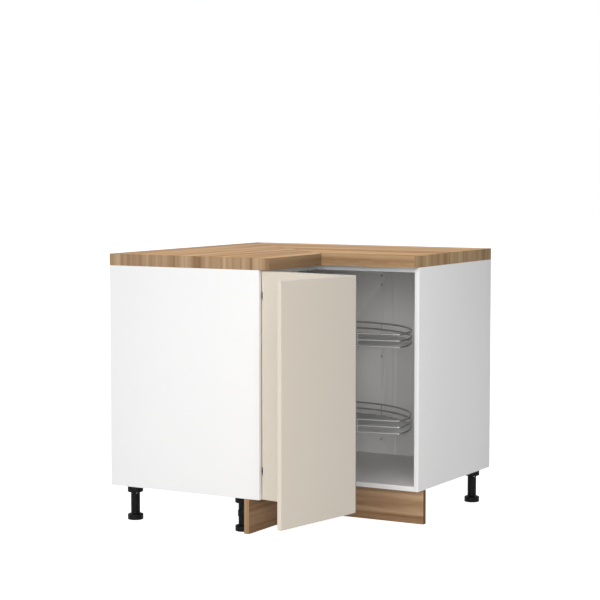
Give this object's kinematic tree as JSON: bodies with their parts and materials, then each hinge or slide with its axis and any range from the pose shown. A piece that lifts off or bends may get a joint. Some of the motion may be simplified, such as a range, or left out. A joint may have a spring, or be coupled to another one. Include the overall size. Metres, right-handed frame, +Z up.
{
  "type": "corner carousel cabinet",
  "caption": "L-shaped corner base cabinet with oak-grain worktop and plinth, folding cream corner door, and three-quarter wire baskets that turn on a central pole.",
  "frame": {"origin": "centre of the bounding box at floor level, with the door open as pictured", "axes": "+Z up, +X along the back wall away from the wall corner, +Y towards the back wall"},
  "size_m": [0.935, 1.3152, 0.87],
  "materials": {
    "white_board": "white melamine-faced board",
    "grey_board": "light grey melamine-faced board",
    "oak_laminate": "oak-grain laminate, matt",
    "leaf_lacquer": "cream lacquered board, matt",
    "bright_wire": "bright chromed wire and tube",
    "hinge_steel": "nickel-plated steel",
    "black_plastic": "black moulded plastic",
    "grey_plastic": "grey moulded plastic"
  },
  "bodies": {
    "cabinet": {"end_panel_left": "white_board", "end_panel_right": "white_board", "front_rail_left": "white_board", "front_rail_right": "white_board", "bottom_panel": "grey_board", "back_rail_left": "grey_board", "back_rail_right": "grey_board", "pole_beam": "grey_board", "back_board_right_corner": "grey_board", "back_board_right_end": "grey_board", "back_board_left_corner": "grey_board", "back_board_left_end": "grey_board", "corner_post": "grey_board", "worktop_right": "oak_laminate", "worktop_left": "oak_laminate", "plinth_left": "oak_laminate", "plinth_right": "oak_laminate", "pole": "bright_wire", "plinth_corner_bracket": "hinge_steel", "basket_lower_collar": "hinge_steel", "basket_upper_collar": "hinge_steel", "hinge_upper_arm": "hinge_steel", "hinge_lower_arm": "hinge_steel", "hinge_upper_plate": "hinge_steel", "hinge_lower_plate": "hinge_steel", "leg_left_end_back": "black_plastic", "leg_left_end_front": "black_plastic", "leg_notch": "black_plastic", "leg_wall_corner": "black_plastic", "leg_right_end_front": "black_plastic", "leg_right_end_back": "black_plastic", "plinth_clip_left": "black_plastic", "plinth_clip_right": "black_plastic", "back_joiner_right": "grey_plastic", "back_joiner_left": "grey_plastic", "pole_bearing_floor": "grey_plastic", "pole_bearing_top": "grey_plastic"},
    "basket_lower": {"basket_lower_rim": "bright_wire", "basket_lower_floor": "bright_wire", "basket_lower_hub": "grey_plastic"},
    "basket_upper": {"basket_upper_rim": "bright_wire", "basket_upper_floor": "bright_wire", "basket_upper_hub": "grey_plastic"},
    "door_left": {"door_leaf_left": "leaf_lacquer", "hinge_upper_cup": "hinge_steel", "hinge_lower_cup": "hinge_steel", "fold_hinge_left": "hinge_steel", "fold_hinge_pin": "hinge_steel"},
    "door_right": {"door_leaf_right": "leaf_lacquer", "fold_hinge_right": "hinge_steel"},
    "foot_left_end_back": {"leg_left_end_back_foot": "black_plastic"},
    "foot_left_end_front": {"leg_left_end_front_foot": "black_plastic"},
    "foot_notch": {"leg_notch_foot": "black_plastic"},
    "foot_wall_corner": {"leg_wall_corner_foot": "black_plastic"},
    "foot_right_end_front": {"leg_right_end_front_foot": "black_plastic"},
    "foot_right_end_back": {"leg_right_end_back_foot": "black_plastic"}
  },
  "joints": [
    {"name": "door_swing", "type": "hinge", "parent": "cabinet", "child": "door_left", "pos_m": [0.109, -0.25862, 0.477], "axis": [0, 0, -1], "range_deg": [-99.4, 10.6]},
    {"name": "door_fold", "type": "hinge", "parent": "door_left", "child": "door_right", "pos_m": [0.45207, -0.30842, 0.477], "axis": [0, 0, 1], "range_deg": [0, 60]},
    {"name": "basket_lower_turn", "type": "hinge", "parent": "cabinet", "child": "basket_lower", "pos_m": [-0.0175, 0.20758, 0.276], "axis": [0, 0, 1], "range_deg": [-360, 360]},
    {"name": "basket_upper_turn", "type": "hinge", "parent": "cabinet", "child": "basket_upper", "pos_m": [-0.0175, 0.20758, 0.561], "axis": [0, 0, 1], "range_deg": [-360, 360]},
    {"name": "foot_left_end_back_height", "type": "slide", "parent": "cabinet", "child": "foot_left_end_back", "axis": [0, 0, -1], "range_m": [0, 0.02]},
    {"name": "foot_left_end_front_height", "type": "slide", "parent": "cabinet", "child": "foot_left_end_front", "axis": [0, 0, -1], "range_m": [0, 0.02]},
    {"name": "foot_notch_height", "type": "slide", "parent": "cabinet", "child": "foot_notch", "axis": [0, 0, -1], "range_m": [0, 0.02]},
    {"name": "foot_wall_corner_height", "type": "slide", "parent": "cabinet", "child": "foot_wall_corner", "axis": [0, 0, -1], "range_m": [0, 0.02]},
    {"name": "foot_right_end_front_height", "type": "slide", "parent": "cabinet", "child": "foot_right_end_front", "axis": [0, 0, -1], "range_m": [0, 0.02]},
    {"name": "foot_right_end_back_height", "type": "slide", "parent": "cabinet", "child": "foot_right_end_back", "axis": [0, 0, -1], "range_m": [0, 0.02]}
  ]
}
